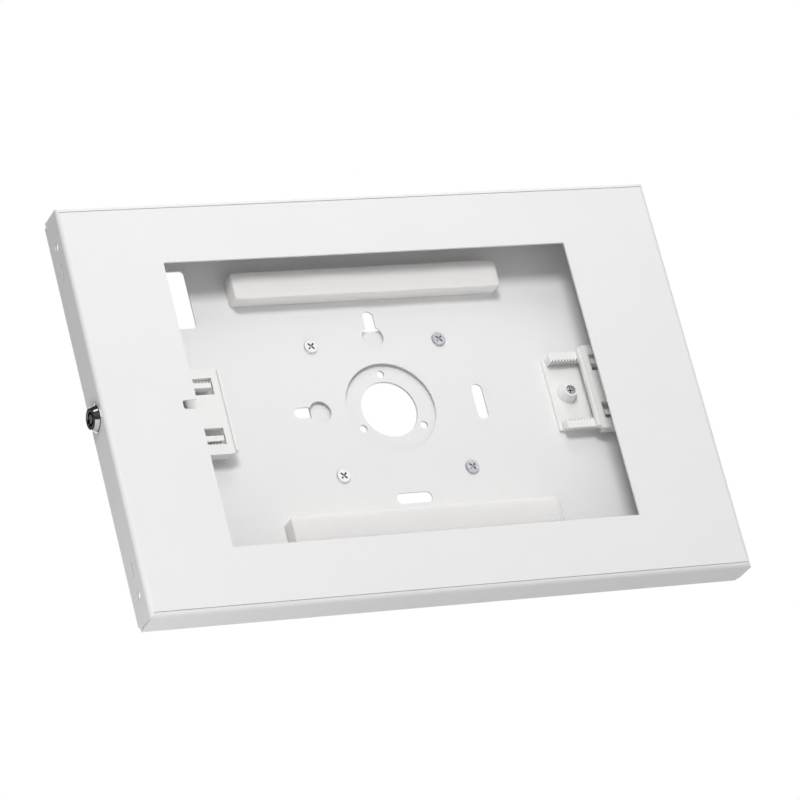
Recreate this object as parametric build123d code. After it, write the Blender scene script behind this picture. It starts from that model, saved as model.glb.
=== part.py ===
from build123d import *
import math
import os

# Lockable tablet holder: a folded sheet-steel cover with a display window, hinged over a
# shallow rear tray. A tubular cam lock holds it shut, two ratchet clamps and two foam
# strips hold the tablet, and an adapter plate behind the tray takes the stand.
# Millimetres. X runs across the front, Z up, and the front faces -Y.
# The origin is the centre of the stand's bolt circle, on the adapter plate's rear face.

# Case
COVER_WIDTH = 344.8
COVER_HEIGHT = 229.6
COVER_SHEET = 1.2
COVER_FLANGE = 19.1
COVER_BEND = 2.8
CORNER_SEAM = 0.35
CORNER_SEAM_DEPTH = 1.0
EDGE_GROOVE_WIDTH = 0.45
EDGE_GROOVE_DEPTH = 0.4
FLANGE_CORNER_CUT = 2.4
FLANGE_CORNER_RISE = 2.4
CASE_DEPTH = 25.0
CASE_DROP = 1.15
TRAY_SHEET = 1.0
TRAY_BEND = 1.8
TRAY_SIDE_GAP = 7.3
TRAY_TOP_GAP = 0.5

# Display window: the width of the cover's borders round it
BORDER_LEFT = 52.4
BORDER_RIGHT = 58.1
BORDER_ENDS = 34.15
WINDOW_CORNER = 0.8
NOTCH_DEPTH = 8.1
NOTCH_HEIGHT = 5.2
NOTCH_DROP = 0.4
NOTCH_CORNER = 1.4

# Small holes and slits in the left flange
PEG_HOLE_RADIUS = 2.3
PEG_HOLE_INSET = 16.9
SLIT_LENGTH = 8.5
SLIT_WIDTH = 1.4
SLIT_STEP = 14.2
FLANGE_HOLES_DROP = 0.7
FLANGE_HOLES_BACK = 10.0

# Adapter plate and its screws
ADAPTER_SIZE = 91.2
ADAPTER_THICKNESS = 1.5
ADAPTER_COLLAR_HEIGHT = 1.5
ADAPTER_COLLAR_RADIUS = 3.4
ADAPTER_CORNER = 4.0
CABLE_HOLE_RADIUS = 16.0
STAND_CIRCLE_RADIUS = 20.4
STAND_HOLE_RADIUS = 2.15
STAND_HOLE_COUNT = 3
SCREW_SPACING = 75.0
SCREW_RADIUS = 2.0
SCREW_HEAD_RADIUS = 3.9
SCREW_HEAD_HEIGHT = 1.2
SCREW_END_GAP = 0.2
SCREW_HOLE_CLEARANCE = 0.05

# Openings in the tray's floor
TRAY_OPENING_RADIUS = 25.75
KEYHOLE_DISTANCE = 41.0
KEYHOLE_RADIUS = 6.2
KEYHOLE_END = 56.2
WALL_SLOT_WIDTH = 6.2
WALL_SLOT_LENGTH = 20.5
WALL_SLOT_DISTANCE = 52.4
CABLE_OPENING_INSET = 21.2
CABLE_OPENING_RISE = 6.1
CABLE_OPENING_WIDTH = 26.2
CABLE_OPENING_HEIGHT = 33.5
CABLE_OPENING_CORNER = 2.4

# Foam strips
FOAM_LENGTH = 155.4
FOAM_HEIGHT = 15.5
FOAM_THICKNESS = 10.0
FOAM_TOP_INSET = 1.2
FOAM_BOTTOM_INSET = 4.6
FOAM_EDGE = 0.6

# Clamps
BASE_END_GAP = 10.1
BASE_LENGTH = 53.0
BASE_FLOOR = 2.0
BASE_HEIGHT = 7.5
RAIL_START = 2.0
RAIL_INNER = 16.5
RAIL_OUTER = 22.15
RAIL_LIP_HEIGHT = 2.5
RAIL_LIP_REACH = 1.3
TOOTH_PITCH = 1.82
TOOTH_DEPTH = 1.8
TOOTH_STEEP_RUN = 0.3
BOSS_OFFSET = 9.7
BOSS_RADIUS = 3.6
BOSS_FLARE = 2.4
CLAMP_SCREW_RADIUS = 1.5
CLAMP_SCREW_HEAD_RADIUS = 2.6
CLAMP_SCREW_HEAD_HEIGHT = 1.8
CLAMP_SCREW_RECESS = 1.2
CLAMP_SCREW_CLEARANCE = 0.2

# Sliding jaws
JAW_LENGTH = 27.5
JAW_PLATE = 2.0
JAW_SKIRT = 1.8
JAW_DEPTH = 6.4
JAW_RUNNING_GAP = 0.3
JAW_SIDE_GAP = 0.45
JAW_HOOK = 1.3
JAW_STOP_HEIGHT = 8.0
JAW_STOP_WALL = 2.0
JAW_BEAD_WIDTH = 1.8
JAW_BEAD_HEIGHT = 0.8
JAW_CORNER_LENGTH = 4.0
JAW_CORNER_WIDTH = 1.3
JAW_WINDOW_START = 5.7
JAW_WINDOW_LENGTH = 11.3
JAW_WINDOW_INNER = 9.5
JAW_WINDOW_OUTER = 18.9
ARM_WIDTH = 2.6
ARM_TOP_DROP = 0.4
ARM_REACH = 3.2
ARM_TIP_GAP = 0.6
ARM_TOOTH = 0.5
ARM_TOOTH_COUNT = 5
RIGHT_JAW_OUT = 18.55
LEFT_JAW_OUT = -2.85

# Lock on the left flange
LOCK_DROP = 0.7
LOCK_HEAD_RADIUS = 7.3
LOCK_FACE_RADIUS = 5.9
LOCK_HEAD_HEIGHT = 3.8
LOCK_RIM_HEIGHT = 1.2
LOCK_RIM_STEP = 0.4
LOCK_FACE_EDGE = 0.35
LOCK_BARREL_RADIUS = 5.6
LOCK_BARREL_LENGTH = 11.5
LOCK_HOLE_CLEARANCE = 0.1
LOCK_NUT_WIDTH = 13.6
LOCK_NUT_THICKNESS = 2.5
LOCK_NUT_TURN = 30.0
LOCK_NUT_GAP = 0.1
PLUG_RADIUS = 4.4
PLUG_CLEARANCE = 0.06
PLUG_SET_BACK = 0.3
PLUG_SHOULDER = 0.3
KEYWAY_OUTER = 3.75
KEYWAY_INNER = 2.35
KEYWAY_DEPTH = 5.0
KEY_NOTCH_WIDTH = 1.4
KEY_NOTCH_DEPTH = 1.6
LOCK_PIN_COUNT = 7
LOCK_PIN_RADIUS = 0.5
LOCK_PIN_LENGTH = 1.5
CAM_SQUARE = 5.0
CAM_HOLE_CLEARANCE = 0.05
CAM_THICKNESS = 1.6
CAM_WIDTH = 8.0
CAM_REACH = 11.7
CAM_SCREW_RADIUS = 1.5
CAM_SCREW_HEAD_RADIUS = 3.3
CAM_SCREW_HEAD_HEIGHT = 1.8
CAM_SCREW_LENGTH = 5.0
STRIKE_GAP = 0.5
STRIKE_WIDTH = 8.0
STRIKE_LENGTH = 60.0
LOCK_PASSAGE = 7.5

# Hinges in the gap on the right side
HINGE_KNUCKLE_RADIUS = 3.0
HINGE_PIN_RADIUS = 1.5
HINGE_BORE_CLEARANCE = 0.05
HINGE_LEAF = 1.0
HINGE_LEAF_REACH = 12.5
HINGE_LEAF_TAIL = 1.5
HINGE_KNUCKLE_HEIGHT = 11.0
HINGE_KNUCKLE_GAP = 0.3
HINGE_AXIS_BACK = 0.5
HINGE_HEIGHT = 62.0
HINGE_PIN_SHORT = 0.5

# Screw heads
HEAD_DOME = 0.45
CROSS_WIDTH = 0.24
CROSS_LENGTH = 1.15
CROSS_DEPTH = 0.55

# Planes of the stack, counted forward (-Y) from the adapter plate's rear face
TRAY_REAR = -ADAPTER_THICKNESS - ADAPTER_COLLAR_HEIGHT
FLOOR_FRONT = TRAY_REAR - TRAY_SHEET
COVER_FRONT = TRAY_REAR - CASE_DEPTH
COVER_INSIDE = COVER_FRONT + COVER_SHEET
FLANGE_REAR = COVER_FRONT + COVER_FLANGE
LOCK_Y = COVER_FRONT + COVER_BEND + LOCK_NUT_WIDTH / 2 + LOCK_NUT_GAP
STRIKE_REAR = LOCK_Y - CAM_WIDTH / 2 - STRIKE_GAP
TRAY_FRONT = STRIKE_REAR - TRAY_SHEET

# Outlines
CASE_Z = -CASE_DROP
LOCK_Z = CASE_Z - LOCK_DROP
COVER_HALF_WIDTH = COVER_WIDTH / 2
COVER_HALF_HEIGHT = COVER_HEIGHT / 2
TRAY_HALF_WIDTH = COVER_HALF_WIDTH - COVER_SHEET - TRAY_SIDE_GAP
TRAY_HALF_HEIGHT = COVER_HALF_HEIGHT - COVER_SHEET - TRAY_TOP_GAP
WINDOW_LEFT = COVER_HALF_WIDTH - BORDER_LEFT
WINDOW_RIGHT = COVER_HALF_WIDTH - BORDER_RIGHT
WINDOW_HALF_HEIGHT = COVER_HALF_HEIGHT - BORDER_ENDS
WINDOW_CENTRE = (WINDOW_RIGHT - WINDOW_LEFT) / 2
CLAMP_OUTER_END = TRAY_HALF_WIDTH - TRAY_SHEET - abs(WINDOW_CENTRE) - BASE_END_GAP
CLAMP_INNER_END = CLAMP_OUTER_END - BASE_LENGTH
HINGE_X = COVER_HALF_WIDTH - COVER_SHEET - TRAY_SIDE_GAP / 2
HINGE_Y = FLANGE_REAR + HINGE_AXIS_BACK
FRONTWARD = (0, -1, 0)
THROUGH = 20.0
CUT_MARGIN = 1.0


def block(x_range, y_range, z_range):
    """Rectangular solid between two limits on each axis."""
    sizes = [abs(high - low) for low, high in (x_range, y_range, z_range)]
    centre = [(high + low) / 2 for low, high in (x_range, y_range, z_range)]
    return Pos(*centre) * Box(*sizes)


def slab(shape, rear, front):
    """Extrude a flat shape drawn in X and Z forward, from the plane Y = rear to Y = front."""
    return extrude(Plane.XZ.offset(-rear) * shape, amount=rear - front)


def through_floor(shape):
    """Cutting tool for the tray's floor or the adapter plate, past both faces."""
    return slab(shape, THROUGH, -THROUGH)


def folded_box(half_width, half_height, sheet, bend, closed, open_end):
    """Folded sheet box, closed at one Y plane and open at the other, with corner seams."""
    step = math.copysign(1, open_end - closed)
    outer = block((-half_width, half_width), (closed, open_end), (-half_height, half_height))
    outer = fillet(outer.faces().sort_by(Axis.Y)[0 if step > 0 else -1].edges(), bend)
    inside = closed + step * sheet
    inner = block((sheet - half_width, half_width - sheet), (inside, open_end + step * sheet),
                  (sheet - half_height, half_height - sheet))
    inner = fillet(inner.faces().sort_by(Axis.Y)[0 if step > 0 else -1].edges(), bend - sheet)
    seam = Rot(0, 45, 0) * Box(CORNER_SEAM, abs(open_end - closed), 2 * CORNER_SEAM_DEPTH)
    cuts = [Pos(x, closed + step * bend + (open_end - closed) / 2, z) * Rot(0, turn, 0) * seam
            for x, z, turn in corners(half_width, half_height)]
    return outer - inner - cuts


def corners(half_width, half_height):
    """The four corners of a box seen from the front, with the turn of each corner's seam."""
    return [(half_width, half_height, 0), (-half_width, half_height, 90),
            (-half_width, -half_height, 0), (half_width, -half_height, 90)]


def flange_corner_cuts():
    """Wedges that take the sharp points off the flanges' free corners."""
    side = Plane.YZ * Polygon((FLANGE_REAR, COVER_HALF_HEIGHT),
                              (FLANGE_REAR - FLANGE_CORNER_CUT, COVER_HALF_HEIGHT),
                              (FLANGE_REAR, COVER_HALF_HEIGHT - FLANGE_CORNER_RISE), align=None)
    end = Plane.XY * Polygon((COVER_HALF_WIDTH, FLANGE_REAR),
                             (COVER_HALF_WIDTH, FLANGE_REAR - FLANGE_CORNER_CUT),
                             (COVER_HALF_WIDTH - FLANGE_CORNER_RISE, FLANGE_REAR), align=None)
    wedges = Pos(COVER_HALF_WIDTH - COVER_SHEET, 0, 0) * extrude(side, amount=COVER_SHEET)
    wedges += Pos(0, 0, COVER_HALF_HEIGHT - COVER_SHEET) * extrude(end, amount=COVER_SHEET)
    wedges += mirror(wedges, Plane.YZ)
    return wedges + mirror(wedges, Plane.XY)


def window_shape():
    """The display window with the notch in its left edge, about the cover's centre."""
    window = Pos(WINDOW_CENTRE, 0) * RectangleRounded(
        WINDOW_LEFT + WINDOW_RIGHT, 2 * WINDOW_HALF_HEIGHT, WINDOW_CORNER)
    notch = Pos(-WINDOW_LEFT, -NOTCH_DROP) * RectangleRounded(
        2 * NOTCH_DEPTH, NOTCH_HEIGHT, NOTCH_CORNER)
    return window + notch


def edge_grooves():
    """Pressed lines across the front beside the top and bottom bends, about the cover's centre."""
    height = COVER_HALF_HEIGHT - COVER_BEND
    groove = block((-COVER_HALF_WIDTH, COVER_HALF_WIDTH), (COVER_FRONT, COVER_FRONT + EDGE_GROOVE_DEPTH),
                   (height, height + EDGE_GROOVE_WIDTH))
    return [groove, mirror(groove, Plane.XY)]


def flange_holes():
    """Peg holes and slits through the left flange, about the cover's centre."""
    y = COVER_FRONT + FLANGE_HOLES_BACK
    x = -COVER_HALF_WIDTH
    peg_rise = COVER_HALF_HEIGHT - PEG_HOLE_INSET
    slit_rise = peg_rise - SLIT_STEP
    cuts = []
    for side in (-1, 1):
        peg = Cylinder(PEG_HOLE_RADIUS, 4 * COVER_SHEET, rotation=(0, 90, 0))
        slit = Box(4 * COVER_SHEET, SLIT_WIDTH, SLIT_LENGTH)
        cuts.append(Pos(x, y, side * peg_rise - FLANGE_HOLES_DROP) * peg)
        cuts.append(Pos(x, y, side * slit_rise - FLANGE_HOLES_DROP) * slit)
    return cuts


def front_cover():
    """Folded cover: window, flanges, seams and grooves, flange holes and the lock's hole."""
    cover = folded_box(COVER_HALF_WIDTH, COVER_HALF_HEIGHT, COVER_SHEET, COVER_BEND,
                       COVER_FRONT, FLANGE_REAR)
    cover -= flange_corner_cuts()
    cover -= edge_grooves()
    cover -= slab(window_shape(), COVER_INSIDE + COVER_SHEET, COVER_FRONT - COVER_SHEET)
    cover -= flange_holes()
    lock_hole = Cylinder(LOCK_BARREL_RADIUS + LOCK_HOLE_CLEARANCE, 4 * COVER_SHEET,
                         rotation=(0, 90, 0))
    cover -= Pos(-COVER_HALF_WIDTH, LOCK_Y, -LOCK_DROP) * lock_hole
    return Pos(0, 0, CASE_Z) * cover


def keyhole():
    """Keyhole lying along +X from the centre: a round entry, then a slot to its end."""
    end = KEYHOLE_END - WALL_SLOT_WIDTH / 2
    slot = SlotCenterToCenter(end - KEYHOLE_DISTANCE, WALL_SLOT_WIDTH)
    return (Pos(KEYHOLE_DISTANCE, 0) * Circle(KEYHOLE_RADIUS)
            + Pos((end + KEYHOLE_DISTANCE) / 2, 0) * slot)


def screw_places():
    """Centres of the four adapter screws, in X and Z."""
    half = SCREW_SPACING / 2
    return [(x, z) for x in (-half, half) for z in (-half, half)]


def floor_openings():
    """All openings in the tray's floor, drawn in X and Z about the bolt circle's centre."""
    shape = Circle(TRAY_OPENING_RADIUS)
    shape += Rot(0, 0, 90) * keyhole()
    shape += Rot(0, 0, 180) * keyhole()
    slot = SlotOverall(WALL_SLOT_LENGTH, WALL_SLOT_WIDTH)
    shape += Pos(WALL_SLOT_DISTANCE, 0) * (Rot(0, 0, 90) * slot)
    shape += Pos(0, -WALL_SLOT_DISTANCE) * slot
    right = CABLE_OPENING_INSET - WINDOW_LEFT
    top = CASE_Z + WINDOW_HALF_HEIGHT + CABLE_OPENING_RISE
    shape += Pos(right - CABLE_OPENING_WIDTH / 2, top - CABLE_OPENING_HEIGHT / 2) * RectangleRounded(
        CABLE_OPENING_WIDTH, CABLE_OPENING_HEIGHT, CABLE_OPENING_CORNER)
    for place in screw_places():
        shape += Pos(*place) * Circle(SCREW_RADIUS + SCREW_HOLE_CLEARANCE)
    for side in (-1, 1):
        shape += Pos(clamp_x(side, BOSS_OFFSET), 0) * Circle(
            CLAMP_SCREW_RADIUS + SCREW_HOLE_CLEARANCE)
    return shape


def rear_tray():
    """Folded tray with the floor's openings and the lip that the lock's cam catches."""
    tray = Pos(0, 0, CASE_Z) * folded_box(TRAY_HALF_WIDTH, TRAY_HALF_HEIGHT, TRAY_SHEET,
                                          TRAY_BEND, TRAY_REAR, TRAY_FRONT)
    tray += block((-TRAY_HALF_WIDTH, STRIKE_WIDTH - TRAY_HALF_WIDTH), (TRAY_FRONT, STRIKE_REAR),
                  (LOCK_Z - STRIKE_LENGTH / 2, LOCK_Z + STRIKE_LENGTH / 2))
    passage = Plane.YZ * (Pos(LOCK_Y, LOCK_Z) * Circle(LOCK_PASSAGE)
                          + Pos(LOCK_Y - THROUGH / 2, LOCK_Z) * Rectangle(THROUGH, 2 * LOCK_PASSAGE))
    tray -= Pos(-TRAY_HALF_WIDTH - TRAY_SHEET, 0, 0) * extrude(
        passage, amount=STRIKE_WIDTH + 2 * TRAY_SHEET)
    return tray - slab(floor_openings(), TRAY_REAR + TRAY_SHEET, FLOOR_FRONT - TRAY_SHEET)


def adapter_plate():
    """Square plate behind the tray, on four drawn collars, with the cable and stand holes."""
    plate = slab(RectangleRounded(ADAPTER_SIZE, ADAPTER_SIZE, ADAPTER_CORNER), 0, -ADAPTER_THICKNESS)
    for place in screw_places():
        plate += slab(Pos(*place) * Circle(ADAPTER_COLLAR_RADIUS), -ADAPTER_THICKNESS, TRAY_REAR)
    holes = Circle(CABLE_HOLE_RADIUS)
    holes += Rot(0, 0, 90) * PolarLocations(STAND_CIRCLE_RADIUS, STAND_HOLE_COUNT) * Circle(
        STAND_HOLE_RADIUS)
    for place in screw_places():
        holes += Pos(*place) * Circle(SCREW_RADIUS + SCREW_HOLE_CLEARANCE)
    return plate - through_floor(holes)


def pan_screw(head_radius, head_height, shank_radius, shank_length):
    """Cross-recessed screw along local Z: the head stands on Z = 0, the shank hangs below."""
    head = Cylinder(head_radius, head_height, align=(Align.CENTER, Align.CENTER, Align.MIN))
    head = fillet(head.edges().group_by(Axis.Z)[-1], head_height * HEAD_DOME)
    shank = Cylinder(shank_radius, shank_length, align=(Align.CENTER, Align.CENTER, Align.MAX))
    bar = Box(head_radius * CROSS_LENGTH, head_radius * CROSS_WIDTH,
              2 * head_height * CROSS_DEPTH)
    cross = Pos(0, 0, head_height) * (bar + Rot(0, 0, 90) * bar)
    return head + shank - cross


def adapter_screws():
    """Four screws through the tray's floor into the adapter plate, flush behind."""
    screw = pan_screw(SCREW_HEAD_RADIUS, SCREW_HEAD_HEIGHT, SCREW_RADIUS,
                      -FLOOR_FRONT - SCREW_END_GAP)
    return Compound([Plane(origin=(x, FLOOR_FRONT, z), z_dir=FRONTWARD) * Rot(0, 0, 45) * screw
                     for x, z in screw_places()])


def foam_strip(side, inset):
    """Foam strip on the tray's floor, set in from the window's top (1) or bottom (-1) edge."""
    centre = CASE_Z + side * (WINDOW_HALF_HEIGHT - inset - FOAM_HEIGHT / 2)
    strip = block((-FOAM_LENGTH / 2, FOAM_LENGTH / 2),
                  (FLOOR_FRONT - FOAM_THICKNESS, FLOOR_FRONT),
                  (centre - FOAM_HEIGHT / 2, centre + FOAM_HEIGHT / 2))
    return fillet(strip.edges().filter_by(Axis.Y), FOAM_EDGE)


def clamp_x(side, out):
    """X of a point that lies this far out from a clamp's inner end: side 1 is the right."""
    return WINDOW_CENTRE + side * (CLAMP_INNER_END + out)


def clamp_place(side):
    """Clamp frame: local X outward, local Z off the floor. The left clamp is turned round."""
    return Plane(origin=(clamp_x(side, 0), FLOOR_FRONT, 0), x_dir=(side, 0, 0),
                 z_dir=FRONTWARD)


def rack_rail():
    """Rail along local X with saw teeth on its inner side and a sliding lip outside."""
    count = int((BASE_LENGTH - RAIL_START) / TOOTH_PITCH)
    spare = (BASE_LENGTH - RAIL_START - count * TOOTH_PITCH) / 2
    low = RAIL_INNER + TOOTH_DEPTH
    points = [(RAIL_START, RAIL_OUTER), (RAIL_START, low)]
    for index in range(count):
        root = RAIL_START + spare + index * TOOTH_PITCH
        points += [(root, low), (root + TOOTH_STEEP_RUN, RAIL_INNER)]
    points += [(BASE_LENGTH - spare, low), (BASE_LENGTH, low), (BASE_LENGTH, RAIL_OUTER)]
    rail = extrude(make_face(Polyline(*points, close=True)), amount=BASE_HEIGHT)
    groove = block((-CUT_MARGIN, BASE_LENGTH + CUT_MARGIN),
                   (RAIL_OUTER - RAIL_LIP_REACH, RAIL_OUTER + CUT_MARGIN),
                   (-CUT_MARGIN, BASE_HEIGHT - RAIL_LIP_HEIGHT))
    return rail - groove


def clamp_base(side):
    """Fixed moulding: a floor, two rack rails and the boss for its screw."""
    half = RAIL_OUTER - RAIL_LIP_REACH
    base = block((0, BASE_LENGTH), (-half, half), (0, BASE_FLOOR))
    rail = rack_rail()
    base += rail + mirror(rail, Plane.XZ)
    boss = Cone(BOSS_RADIUS + BOSS_FLARE, BOSS_RADIUS, BASE_HEIGHT,
                align=(Align.CENTER, Align.CENTER, Align.MIN))
    base += Pos(BOSS_OFFSET, 0, 0) * boss
    bore = Cylinder(CLAMP_SCREW_RADIUS + CLAMP_SCREW_CLEARANCE, 3 * BASE_HEIGHT)
    sink = Cylinder(CLAMP_SCREW_HEAD_RADIUS + CLAMP_SCREW_CLEARANCE, BASE_HEIGHT,
                    align=(Align.CENTER, Align.CENTER, Align.MIN))
    base -= Pos(BOSS_OFFSET, 0, 0) * bore
    base -= Pos(BOSS_OFFSET, 0, clamp_screw_seat()) * sink
    return clamp_place(side) * base


def clamp_screw_seat():
    """Height of the shoulder in the boss that the clamp screw's head sits on."""
    return BASE_HEIGHT - CLAMP_SCREW_RECESS - CLAMP_SCREW_HEAD_HEIGHT


def clamp_screw(side):
    """Screw from the boss down into the tray's floor, flush behind it."""
    screw = pan_screw(CLAMP_SCREW_HEAD_RADIUS, CLAMP_SCREW_HEAD_HEIGHT, CLAMP_SCREW_RADIUS,
                      clamp_screw_seat() + TRAY_SHEET - SCREW_END_GAP)
    return clamp_place(side) * Pos(BOSS_OFFSET, 0, clamp_screw_seat()) * screw


def jaw_arm():
    """Springy arm in a jaw's window: it leads the small pawl teeth along the rack."""
    outer = RAIL_INNER - JAW_RUNNING_GAP
    top = BASE_HEIGHT + JAW_RUNNING_GAP + JAW_PLATE - ARM_TOP_DROP
    low = BASE_HEIGHT - ARM_REACH
    start = JAW_WINDOW_START + ARM_TIP_GAP
    end = JAW_WINDOW_START + JAW_WINDOW_LENGTH
    arm = block((start, end + JAW_SKIRT), (outer - ARM_WIDTH, RAIL_INNER),
                (BASE_HEIGHT + JAW_RUNNING_GAP, top))
    arm += block((start, end + JAW_SKIRT), (outer - ARM_WIDTH, outer - ARM_TOOTH),
                 (low, BASE_HEIGHT + JAW_RUNNING_GAP))
    teeth = [(start + index * TOOTH_PITCH, outer - ARM_TOOTH) for index in range(ARM_TOOTH_COUNT)]
    for x, y in teeth:
        tooth = make_face(Polyline((x, y), (x + TOOTH_PITCH - TOOTH_STEEP_RUN, y + ARM_TOOTH),
                                   (x + TOOTH_PITCH, y), close=True))
        arm += Pos(0, 0, low) * extrude(tooth, amount=BASE_HEIGHT - low)
    return arm


def clamp_jaw(side, out):
    """Sliding moulding: plate, side skirts hooked under the rails, bead and stop wall."""
    half = RAIL_OUTER + JAW_SIDE_GAP + JAW_SKIRT
    rear = BASE_HEIGHT + JAW_RUNNING_GAP
    front = rear + JAW_PLATE
    low = front - JAW_DEPTH
    end = half - JAW_CORNER_WIDTH
    outline = Polyline((0, -end), (JAW_CORNER_LENGTH, -half), (JAW_LENGTH, -half), (JAW_LENGTH, half),
                       (JAW_CORNER_LENGTH, half), (0, end), close=True)
    jaw = Pos(0, 0, rear) * extrude(make_face(outline), amount=JAW_PLATE)
    stop = block((JAW_LENGTH - JAW_STOP_WALL, JAW_LENGTH), (-half, half),
                 (rear, front + JAW_STOP_HEIGHT))
    jaw += fillet(stop.edges().group_by(Axis.Z)[-1].filter_by(Axis.Y), JAW_STOP_WALL * HEAD_DOME)
    bead = block((0, JAW_BEAD_WIDTH), (-end, end), (rear, front + JAW_BEAD_HEIGHT))
    jaw += fillet(bead.edges().group_by(Axis.Z)[-1].filter_by(Axis.Y), JAW_BEAD_HEIGHT * HEAD_DOME)
    hook = RAIL_OUTER - RAIL_LIP_REACH + JAW_RUNNING_GAP
    for v in (-1, 1):
        jaw += block((JAW_CORNER_LENGTH, JAW_LENGTH), (v * (half - JAW_SKIRT), v * half), (low, rear))
        jaw += block((JAW_CORNER_LENGTH, JAW_LENGTH), (v * hook, v * half), (low, low + JAW_HOOK))
        jaw -= block((JAW_WINDOW_START, JAW_WINDOW_START + JAW_WINDOW_LENGTH),
                     (v * JAW_WINDOW_INNER, v * JAW_WINDOW_OUTER), (low, front + CUT_MARGIN))
    arm = jaw_arm()
    jaw += arm + mirror(arm, Plane.XZ)
    return clamp_place(side) * Pos(out, 0, 0) * jaw


def lock_place():
    """Lock frame: local Z out of the left flange, along -X, on its outer face."""
    return Plane(origin=(-COVER_HALF_WIDTH, LOCK_Y, LOCK_Z), x_dir=(0, 1, 0), z_dir=(-1, 0, 0))


def turned(points):
    """Solid of revolution about local Z from an outline of radius and height pairs."""
    return revolve(Plane.XZ * make_face(Polyline(*points, close=True)), Axis.Z)


def lock_housing():
    """Chrome head, a cone on a rim, and its barrel, bored for the plug."""
    bore = PLUG_RADIUS + PLUG_CLEARANCE
    body = turned([(bore, LOCK_HEAD_HEIGHT), (LOCK_FACE_RADIUS - LOCK_FACE_EDGE, LOCK_HEAD_HEIGHT),
                   (LOCK_FACE_RADIUS, LOCK_HEAD_HEIGHT - LOCK_FACE_EDGE),
                   (LOCK_HEAD_RADIUS - LOCK_RIM_STEP, LOCK_RIM_HEIGHT),
                   (LOCK_HEAD_RADIUS, LOCK_RIM_HEIGHT - LOCK_FACE_EDGE), (LOCK_HEAD_RADIUS, 0),
                   (LOCK_BARREL_RADIUS, 0), (LOCK_BARREL_RADIUS, -LOCK_BARREL_LENGTH),
                   (bore, -LOCK_BARREL_LENGTH)])
    return lock_place() * body


def lock_nut():
    """Hexagon nut on the barrel, behind the flange."""
    nut = extrude(RegularPolygon(LOCK_NUT_WIDTH / 2, 6, major_radius=False, rotation=LOCK_NUT_TURN),
                  amount=LOCK_NUT_THICKNESS)
    nut -= Cylinder(LOCK_BARREL_RADIUS + LOCK_HOLE_CLEARANCE / 2, 3 * LOCK_NUT_THICKNESS)
    return lock_place() * Pos(0, 0, -COVER_SHEET - LOCK_NUT_THICKNESS) * nut


def lock_plug():
    """Turning core: ring keyway with its post and key notch, and the square for the cam."""
    top = LOCK_HEAD_HEIGHT - PLUG_SET_BACK
    shoulder = -LOCK_BARREL_LENGTH - PLUG_SHOULDER
    plug = turned([(0, top), (KEYWAY_INNER, top), (KEYWAY_INNER, top - KEYWAY_DEPTH),
                   (KEYWAY_OUTER, top - KEYWAY_DEPTH), (KEYWAY_OUTER, top), (PLUG_RADIUS, top),
                   (PLUG_RADIUS, shoulder), (0, shoulder)])
    plug -= Pos((KEYWAY_OUTER + KEYWAY_INNER) / 2, 0, top) * Box(
        2 * (PLUG_RADIUS - KEYWAY_INNER), KEY_NOTCH_WIDTH, 2 * KEY_NOTCH_DEPTH)
    plug += Pos(0, 0, shoulder - CAM_THICKNESS / 2) * Box(CAM_SQUARE, CAM_SQUARE, CAM_THICKNESS)
    plug -= Pos(0, 0, shoulder - CAM_THICKNESS) * Cylinder(
        CAM_SCREW_RADIUS + PLUG_CLEARANCE, 2 * (CAM_SCREW_LENGTH + CUT_MARGIN))
    return lock_place() * plug


def lock_pins():
    """Spring pins standing on the bottom of the ring keyway."""
    bottom = LOCK_HEAD_HEIGHT - PLUG_SET_BACK - KEYWAY_DEPTH
    pin = Pos(0, 0, bottom) * Cylinder(LOCK_PIN_RADIUS, LOCK_PIN_LENGTH,
                                       align=(Align.CENTER, Align.CENTER, Align.MIN))
    ring = PolarLocations((KEYWAY_OUTER + KEYWAY_INNER) / 2, LOCK_PIN_COUNT)
    return Compound([lock_place() * place * pin for place in ring])


def lock_cam():
    """Flat cam on the plug's square. It points to the rear when the lock is open."""
    shoulder = -LOCK_BARREL_LENGTH - PLUG_SHOULDER
    outline = Circle(CAM_WIDTH / 2) + Pos((CAM_REACH - CAM_WIDTH / 2) / 2, 0) * Rectangle(
        CAM_REACH - CAM_WIDTH / 2, CAM_WIDTH)
    outline += Pos(CAM_REACH - CAM_WIDTH / 2, 0) * Circle(CAM_WIDTH / 2)
    outline -= Rectangle(CAM_SQUARE + 2 * CAM_HOLE_CLEARANCE, CAM_SQUARE + 2 * CAM_HOLE_CLEARANCE)
    return lock_place() * Pos(0, 0, shoulder - CAM_THICKNESS) * extrude(outline, amount=CAM_THICKNESS)


def lock_cam_screw():
    """Screw that holds the cam on the plug."""
    end = -LOCK_BARREL_LENGTH - PLUG_SHOULDER - CAM_THICKNESS
    screw = pan_screw(CAM_SCREW_HEAD_RADIUS, CAM_SCREW_HEAD_HEIGHT, CAM_SCREW_RADIUS,
                      CAM_SCREW_LENGTH)
    return lock_place() * Pos(0, 0, end) * Rot(180, 0, 0) * screw


def hinge_half(side, low, high):
    """One leaf with its knuckle: side is 1 on the cover's flange and -1 on the tray's wall."""
    wall = TRAY_SIDE_GAP / 2
    leaf = Pos(side * (wall - HINGE_LEAF / 2), (HINGE_LEAF_TAIL - HINGE_LEAF_REACH) / 2) * Rectangle(
        HINGE_LEAF, HINGE_LEAF_REACH + HINGE_LEAF_TAIL)
    shape = leaf + Circle(HINGE_KNUCKLE_RADIUS)
    shape -= Circle(HINGE_PIN_RADIUS + HINGE_BORE_CLEARANCE)
    return Pos(HINGE_X, HINGE_Y, low) * extrude(shape, amount=high - low)


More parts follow.
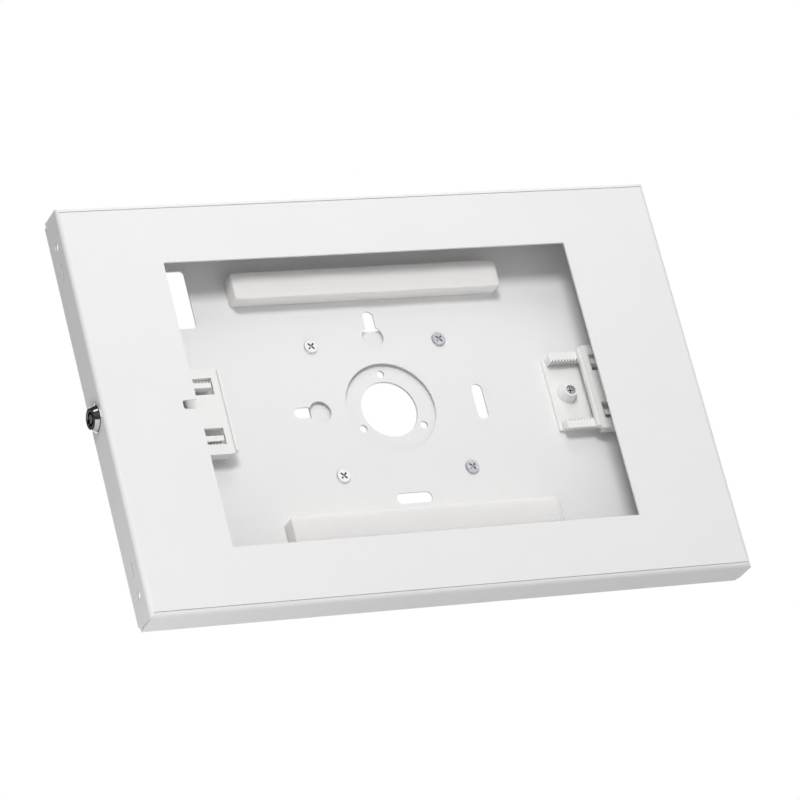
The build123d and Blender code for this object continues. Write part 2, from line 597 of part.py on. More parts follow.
def hinge(centre):
    """Lift-off hinge at one height: the tray's half below, the cover's half above, the pin."""
    gap = HINGE_KNUCKLE_GAP / 2
    tray_half = hinge_half(-1, centre - HINGE_KNUCKLE_HEIGHT, centre - gap)
    cover_half = hinge_half(1, centre + gap, centre + HINGE_KNUCKLE_HEIGHT)
    length = 2 * HINGE_KNUCKLE_HEIGHT - HINGE_PIN_SHORT
    pin = Pos(HINGE_X, HINGE_Y, centre - HINGE_KNUCKLE_HEIGHT) * Cylinder(
        HINGE_PIN_RADIUS, length, align=(Align.CENTER, Align.CENTER, Align.MIN))
    return tray_half, cover_half, pin


def build():
    """All pieces by node name."""
    pieces = {
        "front_cover": front_cover(),
        "rear_tray": rear_tray(),
        "adapter_plate": adapter_plate(),
        "adapter_screws": adapter_screws(),
        "foam_strip_top": foam_strip(1, FOAM_TOP_INSET),
        "foam_strip_bottom": foam_strip(-1, FOAM_BOTTOM_INSET),
        "lock_housing": lock_housing(),
        "lock_nut": lock_nut(),
        "lock_plug": lock_plug(),
        "lock_pins": lock_pins(),
        "lock_cam": lock_cam(),
        "lock_cam_screw": lock_cam_screw(),
    }
    for name, side, out in (("left", -1, LEFT_JAW_OUT), ("right", 1, RIGHT_JAW_OUT)):
        pieces[name + "_clamp_base"] = clamp_base(side)
        pieces[name + "_clamp_jaw"] = clamp_jaw(side, out)
        pieces[name + "_clamp_screw"] = clamp_screw(side)
    for name, centre in (("upper", HINGE_HEIGHT), ("lower", -HINGE_HEIGHT)):
        tray_half, cover_half, pin = hinge(centre)
        pieces[name + "_hinge_tray_leaf"] = tray_half
        pieces[name + "_hinge_cover_leaf"] = cover_half
        pieces[name + "_hinge_pin"] = pin
    return pieces


os.makedirs("parts", exist_ok=True)
for node, solid in build().items():
    export_step(solid, "parts/" + node + ".step")
    print(node, len(solid.solids()), "solids", round(solid.volume, 1), "mm3")
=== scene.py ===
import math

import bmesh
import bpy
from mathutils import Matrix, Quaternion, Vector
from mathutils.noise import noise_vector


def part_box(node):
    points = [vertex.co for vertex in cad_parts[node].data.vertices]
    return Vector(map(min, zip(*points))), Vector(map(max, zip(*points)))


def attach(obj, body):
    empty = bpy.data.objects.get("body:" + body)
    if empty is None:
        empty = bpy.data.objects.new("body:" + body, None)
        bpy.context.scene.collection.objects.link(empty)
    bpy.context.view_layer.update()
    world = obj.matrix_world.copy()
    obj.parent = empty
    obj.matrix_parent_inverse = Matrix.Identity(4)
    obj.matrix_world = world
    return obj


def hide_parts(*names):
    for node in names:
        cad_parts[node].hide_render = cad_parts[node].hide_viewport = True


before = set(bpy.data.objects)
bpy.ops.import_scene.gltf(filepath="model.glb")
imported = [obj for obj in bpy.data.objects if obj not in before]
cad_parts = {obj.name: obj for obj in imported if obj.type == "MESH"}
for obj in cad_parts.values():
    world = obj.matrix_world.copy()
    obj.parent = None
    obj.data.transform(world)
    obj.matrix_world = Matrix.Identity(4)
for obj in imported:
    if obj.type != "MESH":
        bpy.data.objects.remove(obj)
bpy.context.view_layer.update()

# %% [markdown]
# # A lockable tablet holder
#
# The real object is two folded sheets of steel: a cover with a window for the screen,
# and a shallow tray behind it. A small round lock sits in the left edge, two plastic
# clamps slide on racks to hold the tablet, and two strips of foam press it forward.
# The load call above brought in the measured model, with every part in its place.
# Here we keep its shapes, give each part its finish, and build the soft parts anew.

# %% [markdown]
# ## The camera
#
# A catalogue picture like this is taken with a long lens from a few metres away, so the
# edges stay nearly parallel. The camera stands to the left of the object and below it,
# looks up, and is tilted on its axis, which is why the cover's top edge slopes.
# We place it by an aim point and an offset, turn it towards the aim, then add the tilt.

# %% Place the camera
AIM = Vector((-0.00657, -0.02800, -0.00687))
CAMERA_OFFSET = Vector((-1.05638, -1.99825, -0.88723))
CAMERA_TILT = math.radians(14.69)
LENS = 209.86

camera_data = bpy.data.cameras.new("picture_camera")
camera_data.lens = LENS
camera_data.clip_end = 30
camera = bpy.data.objects.new("picture_camera", camera_data)
bpy.context.scene.collection.objects.link(camera)
camera.location = AIM + CAMERA_OFFSET
towards = (-CAMERA_OFFSET).to_track_quat("-Z", "Y")
camera.rotation_mode = "QUATERNION"
camera.rotation_quaternion = towards @ Quaternion((0, 0, 1), -CAMERA_TILT)
bpy.context.scene.camera = camera
print("camera", round(CAMERA_OFFSET.length, 2), "m from the aim")

# %% [markdown]
# ## The light
#
# White sheet metal is modelled by light alone: it needs lamps of different strength from
# different sides, or its faces melt together. The main lamp stands in front of the
# object, above it and a little to its left. It reaches the foam and the clamps deep behind
# the window, and leaves the soft shade under the window's top edge. A small lamp above
# makes the top border brightest, and two near ones lift the underside and the foot of the
# left wall. The lamp at the back is for the other views, and doesn't reach the side that
# we see here. Reflections don't show the lamps, or the chrome would have hard white spots.

# %% Place the lamps
SURROUND_LIGHT = 0.305


def lamp(name, place, width, height, power):
    """Soft lamp, a lit rectangle that faces the object."""
    data = bpy.data.lights.new(name, "AREA")
    data.shape = "RECTANGLE"
    data.size = width
    data.size_y = height
    data.energy = power
    thing = bpy.data.objects.new(name, data)
    bpy.context.scene.collection.objects.link(thing)
    thing.location = place
    thing.rotation_mode = "QUATERNION"
    thing.rotation_quaternion = (AIM - Vector(place)).to_track_quat("-Z", "Y")
    thing.visible_glossy = False
    return thing


lamps = [
    lamp("main_lamp", (-0.75, -2.5, 1.1), width=0.9, height=0.7, power=40.5),
    lamp("top_lamp", (0.0, -0.5, 0.7), width=0.3, height=0.3, power=1.45),
    lamp("under_lamp", (0.1, -0.5, -1.0), width=0.6, height=0.6, power=0.65),
    lamp("low_left_lamp", (-0.42, -0.07, -0.36), width=0.2, height=0.2, power=0.48),
    lamp("back_lamp", (1.5, 2.5, 1.4), width=1.0, height=1.0, power=14.0),
]
print("lamps", len(lamps))

# %% [markdown]
# ## The floor and the flags
#
# The floor is far below, because the camera looks up from under the object. It is a pale
# board with faint clouds, and glows a little for the camera alone, so it stays pale in the
# views from above without lighting the object from below.
# Photographers hang black cards, called flags, around chrome: in an all-white room a
# polished lock has no form. Ours are seen by reflections only, and don't shade anything.

# %% Build the floor
FLOOR_HEIGHT = -1.2
FLOOR_SIZE = 12.0
FLOOR_GLOW = 0.38
LEVEL = Quaternion()


def board(name, width, depth, turn, place):
    """Flat stage piece: drawn in X and Y, turned, then moved to its place."""
    shape = bmesh.new()
    bmesh.ops.create_grid(shape, x_segments=1, y_segments=1, size=0.5)
    bmesh.ops.scale(shape, verts=shape.verts, vec=(width, depth, 1))
    bmesh.ops.rotate(shape, verts=shape.verts, cent=(0, 0, 0), matrix=turn.to_matrix())
    bmesh.ops.translate(shape, verts=shape.verts, vec=place)
    mesh = bpy.data.meshes.new(name)
    shape.to_mesh(mesh)
    shape.free()
    piece = bpy.data.objects.new(name, mesh)
    bpy.context.scene.collection.objects.link(piece)
    return piece


floor = board("studio_floor", FLOOR_SIZE, FLOOR_SIZE, LEVEL, (0, 0, FLOOR_HEIGHT))
print("floor", -FLOOR_HEIGHT, "m below the origin")

# %% Hang the flags
UPRIGHT = Quaternion((0, 1, 0), math.radians(90))
LEFT_FLAG_PLACE = (-1.25, 0.0, 0.7)
CEILING_FLAG_PLACE = (-1.0, 0.2, 1.7)

left_flag = board("left_flag", 3.7, 6.4, UPRIGHT, LEFT_FLAG_PLACE)
ceiling_flag = board("ceiling_flag", 2.0, 2.0, LEVEL, CEILING_FLAG_PLACE)
for flag in (left_flag, ceiling_flag):
    flag.visible_camera = False
    flag.visible_diffuse = False
    flag.visible_shadow = False
    flag.visible_transmission = False
print("flags", left_flag.name, ceiling_flag.name)

# %% [markdown]
# ## The world
#
# The world shader has two branches. Camera, glossy and transmission rays see plain
# white, and all other rays see a weaker grey that acts as the light of a bright room.
# Nodes are fed by two small helpers here, which every material below uses as well.

# %% Write the helpers for nodes
def feed(tree, value, socket):
    """Give a socket a number, a colour of three numbers, or what another socket puts out."""
    if isinstance(value, (int, float)):
        socket.default_value = value
    elif isinstance(value, tuple):
        socket.default_value = (*value, 1)
    else:
        tree.links.new(value, socket)


def math_node(tree, operation, first, second):
    """Math node whose two inputs are sockets or numbers."""
    node = tree.nodes.new("ShaderNodeMath")
    node.operation = operation
    feed(tree, first, node.inputs[0])
    feed(tree, second, node.inputs[1])
    return node.outputs[0]


# %% Set the world
def white_light(tree, strength):
    """Background node in plain white."""
    light = tree.nodes.new("ShaderNodeBackground")
    feed(tree, (1, 1, 1), light.inputs["Color"])
    feed(tree, strength, light.inputs["Strength"])
    return light.outputs[0]


world = bpy.data.worlds.new("studio_world")
bpy.context.scene.world = world
world.use_nodes = True
world_tree = world.node_tree
world_tree.nodes.clear()
rays = world_tree.nodes.new("ShaderNodeLightPath").outputs
seen = math_node(world_tree, "MAXIMUM", rays["Is Camera Ray"], rays["Is Glossy Ray"])
seen_through = math_node(world_tree, "MAXIMUM", seen, rays["Is Transmission Ray"])
world_mix = world_tree.nodes.new("ShaderNodeMixShader")
feed(world_tree, seen_through, world_mix.inputs[0])
feed(world_tree, white_light(world_tree, SURROUND_LIGHT), world_mix.inputs[1])
feed(world_tree, white_light(world_tree, 1.0), world_mix.inputs[2])
world_out = world_tree.nodes.new("ShaderNodeOutputWorld")
feed(world_tree, world_mix.outputs[0], world_out.inputs["Surface"])
bpy.context.scene.view_settings.view_transform = "Standard"
print("white backdrop, room light", SURROUND_LIGHT)

# %% [markdown]
# ## Effects that several finishes share
#
# Four small node groups do the work that comes back in every finish. Mottling shifts
# one colour towards another in soft clouds, because no real surface is one flat colour.
# Grain gives a fine height for the Bump node. Edge wear finds the edges by comparing the
# surface's own direction with one that is rounded over a small radius. Recess shade finds
# the hollow places, such as slots and creases, by ambient occlusion over a short reach,
# and gives the mask with which shade is painted into them.
# A group is built once and placed in each material with that material's own values.

# %% Write the helpers for groups
def noise(tree, scale, detail, rough=0.5):
    """Noise texture on Object coordinates; scale is the number of waves in a metre."""
    where = tree.nodes.new("ShaderNodeTexCoord")
    texture = tree.nodes.new("ShaderNodeTexNoise")
    texture.inputs["Detail"].default_value = detail
    texture.inputs["Roughness"].default_value = rough
    feed(tree, scale, texture.inputs["Scale"])
    feed(tree, where.outputs["Object"], texture.inputs["Vector"])
    return texture


def blend_colours(tree, factor, first, second):
    """Mix node for colours; each colour is a socket or three numbers."""
    mix = tree.nodes.new("ShaderNodeMix")
    mix.data_type = "RGBA"
    feed(tree, factor, mix.inputs["Factor"])
    feed(tree, first, mix.inputs["A"])
    feed(tree, second, mix.inputs["B"])
    return mix.outputs["Result"]


# %% Build the mottling group
FLOAT, COLOUR = "NodeSocketFloat", "NodeSocketColor"


def new_group(name, inputs, outputs):
    """Node group with float or colour sockets; returns it with its ends."""
    group = bpy.data.node_groups.new(name, "ShaderNodeTree")
    for way, sockets in (("INPUT", inputs), ("OUTPUT", outputs)):
        for label, kind in sockets:
            group.interface.new_socket(name=label, in_out=way, socket_type=kind)
    return group, group.nodes.new("NodeGroupInput"), group.nodes.new("NodeGroupOutput")


mottling, ends_in, ends_out = new_group(
    "mottling",
    [("Main", COLOUR), ("Other", COLOUR), ("Cloud size", FLOAT), ("Amount", FLOAT)],
    [("Color", COLOUR), ("Mask", FLOAT)])
cloud_scale = math_node(mottling, "DIVIDE", 1.0, ends_in.outputs["Cloud size"])
clouds = noise(mottling, cloud_scale, detail=3.0)
strength = math_node(mottling, "MULTIPLY", clouds.outputs[0], ends_in.outputs["Amount"])
mixed = blend_colours(mottling, strength, ends_in.outputs["Main"], ends_in.outputs["Other"])
feed(mottling, mixed, ends_out.inputs["Color"])
feed(mottling, strength, ends_out.inputs["Mask"])
print("mottling nodes", len(mottling.nodes))

# %% Build the grain group
FINE_STEP = 3.1

grain, ends_in, ends_out = new_group(
    "grain", [("Grain size", FLOAT), ("Fine share", FLOAT)], [("Height", FLOAT)])
coarse_scale = math_node(grain, "DIVIDE", 1.0, ends_in.outputs["Grain size"])
fine_scale = math_node(grain, "DIVIDE", FINE_STEP, ends_in.outputs["Grain size"])
coarse = noise(grain, coarse_scale, detail=1.0)
fine = noise(grain, fine_scale, detail=1.0)
fine_part = math_node(grain, "MULTIPLY", fine.outputs[0], ends_in.outputs["Fine share"])
height = math_node(grain, "ADD", coarse.outputs[0], fine_part)
feed(grain, height, ends_out.inputs["Height"])
print("grain nodes", len(grain.nodes))

# %% Build the edge wear group
WEAR_RADIUS = 0.0006
WEAR_PATCHES = 350.0

edge_wear, ends_in, ends_out = new_group(
    "edge_wear", [("Amount", FLOAT)], [("Mask", FLOAT)])
rounded = edge_wear.nodes.new("ShaderNodeBevel")
rounded.samples = 4
rounded.inputs["Radius"].default_value = WEAR_RADIUS
flat = edge_wear.nodes.new("ShaderNodeNewGeometry")
agree = edge_wear.nodes.new("ShaderNodeVectorMath")
agree.operation = "DOT_PRODUCT"
feed(edge_wear, rounded.outputs[0], agree.inputs[0])
feed(edge_wear, flat.outputs["Normal"], agree.inputs[1])
differ = math_node(edge_wear, "SUBTRACT", 1.0, agree.outputs["Value"])
patches = noise(edge_wear, WEAR_PATCHES, detail=3.0)
uneven = math_node(edge_wear, "MULTIPLY", differ, patches.outputs[0])
scaled = math_node(edge_wear, "MULTIPLY", uneven, ends_in.outputs["Amount"])
feed(edge_wear, math_node(edge_wear, "MINIMUM", scaled, 1.0), ends_out.inputs["Mask"])
print("edge wear nodes", len(edge_wear.nodes))

# %% Build the recess shade group, for painted shade in hollows
RECESS_SHADE_REACH = 0.0012

recess_shade, ends_in, ends_out = new_group(
    "recess_shade", [("Amount", FLOAT)], [("Mask", FLOAT)])
# Painted shade: the mask grows where ambient occlusion finds the surface closed in.
openness = recess_shade.nodes.new("ShaderNodeAmbientOcclusion")
openness.samples = 6
openness.only_local = True
openness.inputs["Distance"].default_value = RECESS_SHADE_REACH
closed = math_node(recess_shade, "SUBTRACT", 1.0, openness.outputs["AO"])
recess_shade_mask = math_node(recess_shade, "MULTIPLY", closed, ends_in.outputs["Amount"])
feed(recess_shade, math_node(recess_shade, "MINIMUM", recess_shade_mask, 1.0), ends_out.inputs["Mask"])
print("recess nodes", len(recess_shade.nodes))

# %% [markdown]
# ## A way to write finishes
#
# Each finish below is a Principled shader with the groups in front of it: mottling, edge
# wear and, where there are slots or creases, recess shade make its colour, with painted shade
# in those hollows; one noise makes its roughness uneven, and grain makes its bump. Values
# that are the same all over the surface are set on the shader's own sockets.

# %% Write the helpers for finishes
FINE_SHARE = 0.3
SMEARS_IN_A_CLOUD = 3


def place_group(tree, group, **values):
    """Node that holds a shared group, with a material's own values on its sockets."""
    node = tree.nodes.new("ShaderNodeGroup")
    node.node_tree = group
    for label, value in values.items():
        feed(tree, value, node.inputs[label.replace("_", " ").capitalize()])
    return node


def finish_of(name, main, other, cloud_size, cloud_amount, worn, wear_amount,
              roughness, roughness_swing, grain_size, grain_depth,
              hollow_shade=(0.05, 0.05, 0.05), hollow_shade_amount=0.0, **shader):
    """Two mottled colours, worn places, painted shade in hollows, a roughness and a grain."""
    material = bpy.data.materials.new(name)
    material.use_nodes = True
    tree = material.node_tree
    tree.nodes.clear()
    out = tree.nodes.new("ShaderNodeOutputMaterial")
    principled = tree.nodes.new("ShaderNodeBsdfPrincipled")
    tree.links.new(principled.outputs[0], out.inputs["Surface"])
    for label, value in shader.items():
        principled.inputs[label.replace("_", " ").title()].default_value = value

    clouds = place_group(tree, mottling, main=main, other=other, cloud_size=cloud_size,
                         amount=cloud_amount)
    edges = place_group(tree, edge_wear, amount=wear_amount)
    colour = blend_colours(tree, edges.outputs["Mask"], clouds.outputs["Color"], worn)
    # Painted shade: hollow places are mixed towards the hollow shade colour.
    if hollow_shade_amount:
        hollow_shades = place_group(tree, recess_shade, amount=hollow_shade_amount)
        colour = blend_colours(tree, hollow_shades.outputs["Mask"], colour, hollow_shade)
    feed(tree, colour, principled.inputs["Base Color"])

    smears = noise(tree, 1 / cloud_size * SMEARS_IN_A_CLOUD, detail=4.0, rough=0.6)
    swing = math_node(tree, "MULTIPLY", smears.outputs[0], 2 * roughness_swing)
    uneven = math_node(tree, "ADD", swing, roughness - roughness_swing)
    feed(tree, uneven, principled.inputs["Roughness"])

    texture = place_group(tree, grain, grain_size=grain_size, fine_share=FINE_SHARE)
    bump = tree.nodes.new("ShaderNodeBump")
    bump.inputs["Distance"].default_value = grain_depth
    feed(tree, texture.outputs["Height"], bump.inputs["Height"])
    feed(tree, bump.outputs[0], principled.inputs["Normal"])
    print(name, len(tree.nodes), "nodes")
    return material


# %% [markdown]
# ## Board and card of the stage
#
# The floor is a matt pale board. Its Emission Strength is its glow times Is Camera Ray,
# which is 1 for what the camera sees and 0 for light on its way to the object. The flags
# are black card, and show as dark bands in the chrome.

# %% Mix the floor board and the black card
floor_board = finish_of(
    "pale_floor_board", main=(0.90, 0.90, 0.90), other=(0.86, 0.86, 0.86),
    cloud_size=0.4, cloud_amount=0.6, worn=(0.88, 0.88, 0.88), wear_amount=0.0,
    roughness=0.7, roughness_swing=0.05, grain_size=0.002, grain_depth=0.0001)
floor_tree = floor_board.node_tree
floor_shader = next(node for node in floor_tree.nodes if node.type == "BSDF_PRINCIPLED")
floor_shader.inputs["Emission Color"].default_value = (1, 1, 1, 1)
floor_rays = floor_tree.nodes.new("ShaderNodeLightPath")
glow = math_node(floor_tree, "MULTIPLY", floor_rays.outputs["Is Camera Ray"], FLOOR_GLOW)
feed(floor_tree, glow, floor_shader.inputs["Emission Strength"])
floor.data.materials.append(floor_board)
black_card = finish_of(
    "black_card", main=(0.030, 0.030, 0.040), other=(0.045, 0.045, 0.055),
    cloud_size=0.3, cloud_amount=0.5, worn=(0.03, 0.03, 0.03), wear_amount=0.0,
    roughness=0.9, roughness_swing=0.05, grain_size=0.002, grain_depth=0.0001)
for flag in (left_flag, ceiling_flag):
    flag.data.materials.append(black_card)

# %% [markdown]
# ## Powder coat
#
# The sheets are sprayed with white powder and baked. The skin that melts is even and
# slightly glossy, with a very fine orange peel. It is a little greyer on sharp edges, and
# creases and small holes are darkened with painted shade.

# %% Mix the powder coat
powder_coat = finish_of(
    "white_powder_coat", main=(0.875, 0.875, 0.872), other=(0.845, 0.845, 0.842),
    cloud_size=0.035, cloud_amount=0.9, worn=(0.80, 0.80, 0.79), wear_amount=1.2,
    roughness=0.42, roughness_swing=0.06, grain_size=0.0011, grain_depth=0.00006,
    hollow_shade=(0.50, 0.50, 0.50), hollow_shade_amount=0.8)

# %% [markdown]
# ## Clamp plastic
#
# The clamps are moulded in a hard white plastic. It is smoother than the coat and lets a
# little light in. The hollows between the racks' teeth get a soft grey painted shade.

# %% Mix the clamp plastic
clamp_plastic = finish_of(
    "clamp_plastic", main=(0.90, 0.90, 0.89), other=(0.88, 0.88, 0.87),
    cloud_size=0.012, cloud_amount=0.8, worn=(0.90, 0.90, 0.89), wear_amount=1.0,
    roughness=0.36, roughness_swing=0.05, grain_size=0.0006, grain_depth=0.00001,
    hollow_shade=(0.40, 0.40, 0.41), hollow_shade_amount=0.9, subsurface_weight=0.12,
    subsurface_scale=0.002, subsurface_radius=(1.0, 0.9, 0.85))

# %% [markdown]
# ## Metals
#
# The screws are steel with a thin zinc skin that looks slightly blue. The lock's head is
# bright chrome, its core is nickelled brass, and the cam and nut are dull zinc. All are
# fully metallic, and differ in colour, in how rough they are and in how the edges wear.

# %% Mix the screws' zinc
# The near-black hollow colour is painted shade in the screws' cross recesses.
zinc_screw = finish_of(
    "zinc_screw", main=(0.86, 0.87, 0.90), other=(0.38, 0.39, 0.43),
    cloud_size=0.0014, cloud_amount=1.1, worn=(0.95, 0.96, 0.97), wear_amount=6.0,
    roughness=0.30, roughness_swing=0.08, grain_size=0.0005, grain_depth=0.00001,
    hollow_shade=(0.06, 0.06, 0.08), hollow_shade_amount=1.6, metallic=1.0)
# Painted reflection: this brighter zinc stands for a lamp seen in the left pair of screws.
zinc_painted_glint = finish_of(
    "zinc_painted_glint", main=(0.96, 0.96, 0.96), other=(0.90, 0.91, 0.92),
    cloud_size=0.004, cloud_amount=0.8, worn=(0.97, 0.97, 0.97), wear_amount=1.0,
    roughness=0.34, roughness_swing=0.05, grain_size=0.0005, grain_depth=0.00001,
    hollow_shade=(0.07, 0.07, 0.07), hollow_shade_amount=2.6, metallic=1.0)

# %% [markdown]
# The four screws of the plate are one measured part. The left pair is painted bright, a
# painted reflection of a bright lamp, and the right pair is duller and bluer. One material
# serves both: it mixes the two colours by which side of the middle a point lies on.

# %% Join the painted glint and the plain zinc in one material
def holder_of(tree, group):
    """Node that holds a shared group in a material."""
    return next(node for node in tree.nodes
                if node.type == "GROUP" and node.node_tree == group)


def painted_glint_split(name, glint_finish, plain_finish, right_cross_shade):
    """Material with the glint finish, a painted reflection, on the left (-X), plain on the
    right.
    """
    material = glint_finish.copy()
    material.name = name
    tree = material.node_tree
    place = tree.nodes.new("ShaderNodeTexCoord")
    split = tree.nodes.new("ShaderNodeSeparateXYZ")
    feed(tree, place.outputs["Object"], split.inputs[0])
    on_right = math_node(tree, "GREATER_THAN", split.outputs["X"], 0.0)

    left_clouds = holder_of(tree, mottling)
    target = left_clouds.outputs["Color"].links[0].to_socket
    right_clouds = place_group(tree, mottling)
    for socket in holder_of(plain_finish.node_tree, mottling).inputs:
        right_clouds.inputs[socket.name].default_value = socket.default_value
    both = blend_colours(tree, on_right, left_clouds.outputs["Color"],
                         right_clouds.outputs["Color"])
    feed(tree, both, target)

    # Painted shade in the cross recesses: near black on the left pair, grey on the right pair.
    cross_shade = holder_of(tree, recess_shade).outputs["Mask"].links[0].to_node.inputs["B"]
    left_cross_shade = tuple(cross_shade.default_value[:3])
    feed(tree, blend_colours(tree, on_right, left_cross_shade, right_cross_shade), cross_shade)
    print(name, len(tree.nodes), "nodes")
    return material


plate_screws = painted_glint_split("plate_screws", zinc_painted_glint, zinc_screw,
                         right_cross_shade=(0.33, 0.33, 0.36))

# %% [markdown]
# The lock's head is polished, so its roughness is close to none and it shows the white
# room and the black flags. Its core is warmer and more worn by the key. What sits behind
# the flange, and the hinges' pins, are never polished and stay rough.

# %% Mix the lock's and the hinges' metals
lock_chrome = finish_of(
    "lock_chrome", main=(0.93, 0.93, 0.94), other=(0.86, 0.86, 0.88),
    cloud_size=0.006, cloud_amount=0.7, worn=(0.95, 0.95, 0.95), wear_amount=1.0,
    roughness=0.09, roughness_swing=0.04, grain_size=0.0020, grain_depth=0.00001, metallic=1.0)
lock_brass = finish_of(
    "lock_core_metal", main=(0.50, 0.48, 0.44), other=(0.34, 0.32, 0.29),
    cloud_size=0.002, cloud_amount=0.9, worn=(0.72, 0.69, 0.62), wear_amount=1.2,
    roughness=0.28, roughness_swing=0.08, grain_size=0.0005, grain_depth=0.00001, metallic=1.0)
dull_zinc = finish_of(
    "dull_zinc", main=(0.55, 0.57, 0.60), other=(0.44, 0.46, 0.50),
    cloud_size=0.005, cloud_amount=0.9, worn=(0.70, 0.72, 0.75), wear_amount=1.2,
    roughness=0.40, roughness_swing=0.10, grain_size=0.0006, grain_depth=0.00002, metallic=1.0)
hinge_steel = finish_of(
    "hinge_steel", main=(0.55, 0.55, 0.56), other=(0.45, 0.45, 0.46),
    cloud_size=0.004, cloud_amount=0.8, worn=(0.75, 0.75, 0.76), wear_amount=1.5,
    roughness=0.25, roughness_swing=0.08, grain_size=0.0008, grain_depth=0.00001, metallic=1.0)

# %% [markdown]
# ## Give the measured parts their finishes
#
# The loaded parts keep their meshes. Only the material in their slot changes.

# %% Assign the finishes
FINISHES = {
    powder_coat: ["front_cover", "rear_tray", "adapter_plate", "upper_hinge_tray_leaf",
                  "lower_hinge_tray_leaf", "upper_hinge_cover_leaf", "lower_hinge_cover_leaf"],
    clamp_plastic: ["left_clamp_base", "right_clamp_base", "left_clamp_jaw", "right_clamp_jaw"],
    plate_screws: ["adapter_screws"],
    zinc_screw: ["left_clamp_screw", "right_clamp_screw"],
    lock_chrome: ["lock_housing"],
    lock_brass: ["lock_plug", "lock_pins"],
    dull_zinc: ["lock_nut", "lock_cam", "lock_cam_screw"],
    hinge_steel: ["upper_hinge_pin", "lower_hinge_pin"],
}

for material, names in FINISHES.items():
    for name in names:
        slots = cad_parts[name].data.materials
        slots.clear()
        slots.append(material)
print("finished", sum(len(names) for names in FINISHES.values()), "parts")

# %% [markdown]
# ## Foam strips
#
# The two strips press the tablet against the window. They are cut from a sheet of
# closed-cell foam with a blade, so they look like bars, but nothing on them is true: the
# ends are rounded by the cut, the long edges are drawn in, and the faces have shallow
# waves. A bar with only a bump would keep its machine-straight outline.
# We start from a cube of the strip's size, round its ends and edges with bevels, cut it
# into slices, and push every point that isn't glued to the tray by a slow noise.

# %% Choose the foam's softness
FOAM_END_ROUNDING = 0.0018
FOAM_EDGE_ROUNDING = 0.0007
FOAM_SLICE = 0.003
FOAM_WAVE = 0.00035
FOAM_WAVE_LENGTH = 0.016
print("foam points every", FOAM_SLICE * 1000, "mm, moved by up to", FOAM_WAVE * 1000, "mm")


# %% Write the foam bar
END_SEGMENTS = 4
EDGE_SEGMENTS = 3
NEARLY_ALL = 0.9


def bar_edges(shape, axis):
    """Edges that run along one axis, 0 for X, 1 for Y and 2 for Z."""
    found = []
    for edge in shape.edges:
        way = edge.verts[1].co - edge.verts[0].co
        if abs(way[axis]) > NEARLY_ALL * way.length:
            found.append(edge)
    return found


def rounded_bar(low, high):
    """Bar between two corners: its four end edges rounded first, then the front eased."""
    shape = bmesh.new()
    bmesh.ops.create_cube(shape, size=1.0)
    bmesh.ops.scale(shape, verts=shape.verts, vec=high - low)
    bmesh.ops.translate(shape, verts=shape.verts, vec=(low + high) / 2)
    bmesh.ops.bevel(shape, geom=bar_edges(shape, 1), offset=FOAM_END_ROUNDING,
                    segments=END_SEGMENTS, affect="EDGES", profile=0.5, material=-1)
    front = [edge for edge in shape.edges
             if all(vert.co.y < low.y + FOAM_EDGE_ROUNDING / 2 for vert in edge.verts)]
    bmesh.ops.bevel(shape, geom=front, offset=FOAM_EDGE_ROUNDING,
                    segments=EDGE_SEGMENTS, affect="EDGES", profile=0.5, material=-1)
    return shape


# %% Slice the bar and make it uneven
def slice_bar(shape, low, high):
    """Cut the bar across every few millimetres, along X and Z."""
    for axis, way in ((0, Vector((1, 0, 0))), (2, Vector((0, 0, 1)))):
        slices = int((high[axis] - low[axis]) / FOAM_SLICE)
        for index in range(1, slices):
            place = low.copy()
            place[axis] += index * (high[axis] - low[axis]) / slices
            bmesh.ops.bisect_plane(shape, geom=shape.verts[:] + shape.edges[:] + shape.faces[:],
                                   plane_co=place, plane_no=way)


def push_by_noise(shape, glued_y, seed):
    """Move each point by slow noise, less near the glued face and not at all on it."""
    shift = Vector((seed, 0, 0))
    for vert in shape.verts:
        free = min(1.0, (glued_y - vert.co.y) / FOAM_EDGE_ROUNDING)
        wave = noise_vector(vert.co / FOAM_WAVE_LENGTH + shift)
        vert.co += wave * FOAM_WAVE * free


FOAM_SHARP_ANGLE = math.radians(50)


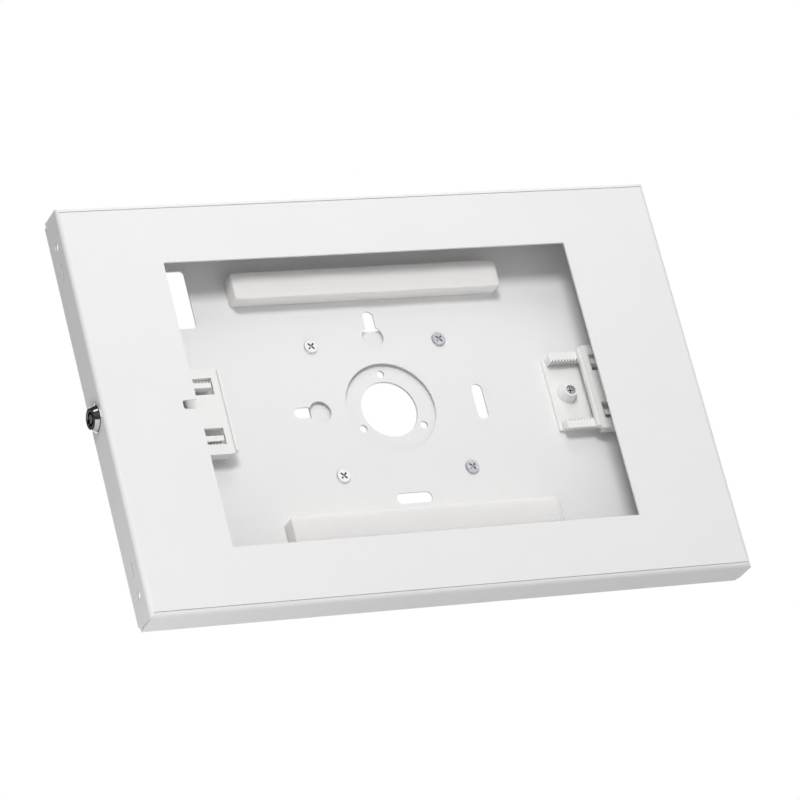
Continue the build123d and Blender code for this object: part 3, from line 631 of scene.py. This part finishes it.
def strip_of_foam(node, name, seed):
    """Foam strip in place of a plain CAD strip, glued by its rear face."""
    low, high = (Vector(corner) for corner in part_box(node))
    shape = rounded_bar(low, high)
    slice_bar(shape, low, high)
    push_by_noise(shape, high.y, seed)
    bmesh.ops.recalc_face_normals(shape, faces=shape.faces)
    for face in shape.faces:
        face.smooth = True
    mesh = bpy.data.meshes.new(name)
    shape.to_mesh(mesh)
    shape.free()
    mesh.set_sharp_from_angle(angle=FOAM_SHARP_ANGLE)
    strip = bpy.data.objects.new(name, mesh)
    bpy.context.scene.collection.objects.link(strip)
    print(name, len(mesh.polygons), "faces,", round((high.x - low.x) * 1000), "mm long")
    return strip


# %% Cut both strips
foam_top = strip_of_foam("foam_strip_top", "upper_foam_strip", seed=1.0)
foam_bottom = strip_of_foam("foam_strip_bottom", "lower_foam_strip", seed=7.0)

# %% [markdown]
# ## Foam finish
#
# Closed-cell foam is a froth of bubbles about a third of a millimetre wide. Cut cells
# leave a skin of tiny cups, which takes away every highlight. A Voronoi texture puts the
# cups in as bump, and a little light under the surface softens the shadows.

# %% Mix the foam
FOAM_CELLS_IN_A_METRE = 2800.0

foam = finish_of(
    "white_foam", main=(0.96, 0.915, 0.915), other=(0.93, 0.91, 0.895),
    cloud_size=0.03, cloud_amount=0.9, worn=(0.92, 0.89, 0.88), wear_amount=0.4,
    roughness=0.88, roughness_swing=0.05, grain_size=0.0009, grain_depth=0.00012,
    subsurface_weight=0.5, subsurface_scale=0.004, subsurface_radius=(1.0, 0.95, 0.93))
foam_tree = foam.node_tree
cells = foam_tree.nodes.new("ShaderNodeTexVoronoi")
cells.inputs["Scale"].default_value = FOAM_CELLS_IN_A_METRE
where = foam_tree.nodes.new("ShaderNodeTexCoord")
feed(foam_tree, where.outputs["Object"], cells.inputs["Vector"])
foam_bump = next(node for node in foam_tree.nodes if node.type == "BUMP")
grain_height = foam_bump.inputs["Height"].links[0].from_socket
cups = math_node(foam_tree, "ADD", grain_height, cells.outputs["Distance"])
feed(foam_tree, cups, foam_bump.inputs["Height"])

# %% [markdown]
# Each strip takes the place of its measured bar and stays on the tray when the cover opens.

# %% Fit both strips
for strip, node in ((foam_top, "foam_strip_top"), (foam_bottom, "foam_strip_bottom")):
    strip.data.materials.append(foam)
    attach(strip, "tray")
    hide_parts(node)
    print(strip.name, "replaces", node)
